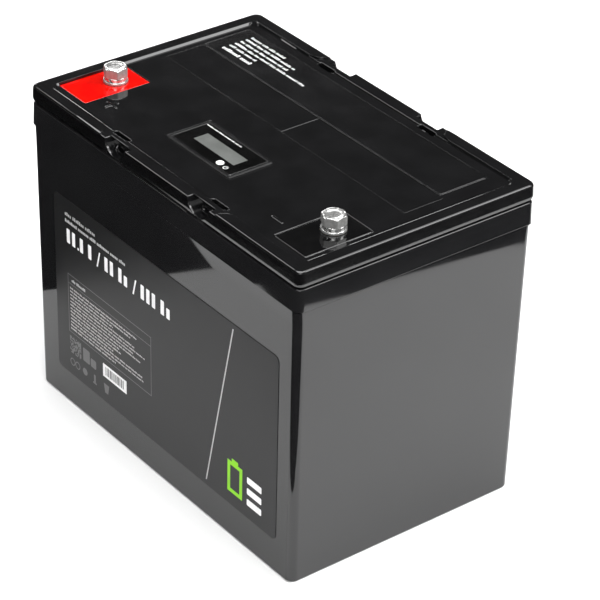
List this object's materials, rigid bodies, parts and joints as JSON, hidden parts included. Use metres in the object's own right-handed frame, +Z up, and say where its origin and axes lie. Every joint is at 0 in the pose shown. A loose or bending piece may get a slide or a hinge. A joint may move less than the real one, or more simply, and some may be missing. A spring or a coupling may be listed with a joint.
{
  "type": "deep cycle battery",
  "caption": "Sealed deep cycle battery in a moulded case: bolted terminals on coloured pads, charge display with button, strap slots, cell pack and control board inside.",
  "frame": {"origin": "centre of the base, on the surface the battery stands on", "axes": "+Z up, +X along the length towards the negative terminal, -Y towards the label side"},
  "size_m": [0.258, 0.166, 0.2141],
  "materials": {
    "case": "moulded, fine satin grain",
    "lid": "moulded, glossy",
    "seal": "matt sealant bead",
    "cover_strip": "moulded, glossy",
    "red_pad": "polished",
    "black_pad": "polished",
    "terminal": "machined",
    "bolt": "bright zinc plate",
    "washer": "bright zinc plate",
    "spring_washer": "bright zinc plate",
    "bezel": "moulded, glossy",
    "overlay": "glossy printed film",
    "display_window": "clear window",
    "lcd": "unlit liquid crystal glass",
    "button": "satin",
    "component": "moulded",
    "steel": "bright zinc plate",
    "board": "solder mask",
    "connector": "nylon",
    "black_insulation": "satin",
    "label": "satin laminated film",
    "cell": "blue film over aluminium",
    "spacer": "insulating sheet",
    "end_plate": "mill finish",
    "copper": "bare copper",
    "heat_sink": "extruded",
    "red_insulation": "satin",
    "foam": "closed-cell foam"
  },
  "bodies": {
    "root": {"case": "case", "lid": "lid", "lid_seal": "seal", "rear_cover_strip": "cover_strip", "positive_pad": "red_pad", "negative_pad": "black_pad", "positive_terminal": "terminal", "negative_terminal": "terminal", "display_bezel": "bezel", "display_overlay": "overlay", "display_window": "display_window", "lcd_module": "lcd", "button_switch": "component", "display_board": "board", "display_connector": "connector", "display_screws": "steel", "display_cable": "black_insulation", "front_label": "label", "cell_1": "cell", "cell_2": "cell", "cell_3": "cell", "cell_4": "cell", "cell_spacers": "spacer", "end_plates": "end_plate", "pack_straps": "steel", "busbars": "copper", "busbar_nuts": "steel", "pack_top_board": "board", "sense_tabs": "steel", "board_pillars": "connector", "bms_board": "board", "bms_transistors": "component", "bms_heat_sink": "heat_sink", "bms_shunt": "copper", "bms_connectors": "connector", "bms_screws": "steel", "balance_wires": "red_insulation", "temperature_sensor": "black_insulation", "positive_lead": "red_insulation", "pack_negative_lead": "black_insulation", "negative_lead": "black_insulation", "lead_lugs": "terminal", "terminal_screws": "steel", "base_foam": "foam", "end_foam": "foam", "side_foam": "foam", "switch_spring": "steel"},
    "positive_washers": {"positive_flat_washer": "washer", "positive_spring_washer": "spring_washer"},
    "positive_bolt": {"positive_bolt": "bolt"},
    "negative_washers": {"negative_flat_washer": "washer", "negative_spring_washer": "spring_washer"},
    "negative_bolt": {"negative_bolt": "bolt"},
    "display_button": {"display_button": "button"}
  },
  "joints": [
    {"name": "positive_bolt_lift", "type": "slide", "parent": "root", "child": "positive_washers", "axis": [0, 0, 1], "range_m": [0, 0.0106]},
    {"name": "positive_bolt_turn", "type": "hinge", "parent": "positive_washers", "child": "positive_bolt", "pos_m": [-0.1061, -0.038, 0.21], "axis": [0, 0, 1], "range_deg": [0, 3060]},
    {"name": "negative_bolt_lift", "type": "slide", "parent": "root", "child": "negative_washers", "axis": [0, 0, 1], "range_m": [0, 0.0106]},
    {"name": "negative_bolt_turn", "type": "hinge", "parent": "negative_washers", "child": "negative_bolt", "pos_m": [0.1009, -0.038, 0.21], "axis": [0, 0, 1], "range_deg": [0, 3060]},
    {"name": "display_button_press", "type": "slide", "parent": "root", "child": "display_button", "axis": [0, 0, -1], "range_m": [0, 0.0005], "stiffness_N_per_m": 1200, "springref_m": -0.0005, "deforming": ["switch_spring"]}
  ],
  "couplings": [
    {"joint": "positive_bolt_turn", "follows": "positive_bolt_lift", "rad_per_m": 5026.5},
    {"joint": "negative_bolt_turn", "follows": "negative_bolt_lift", "rad_per_m": 5026.5}
  ]
}
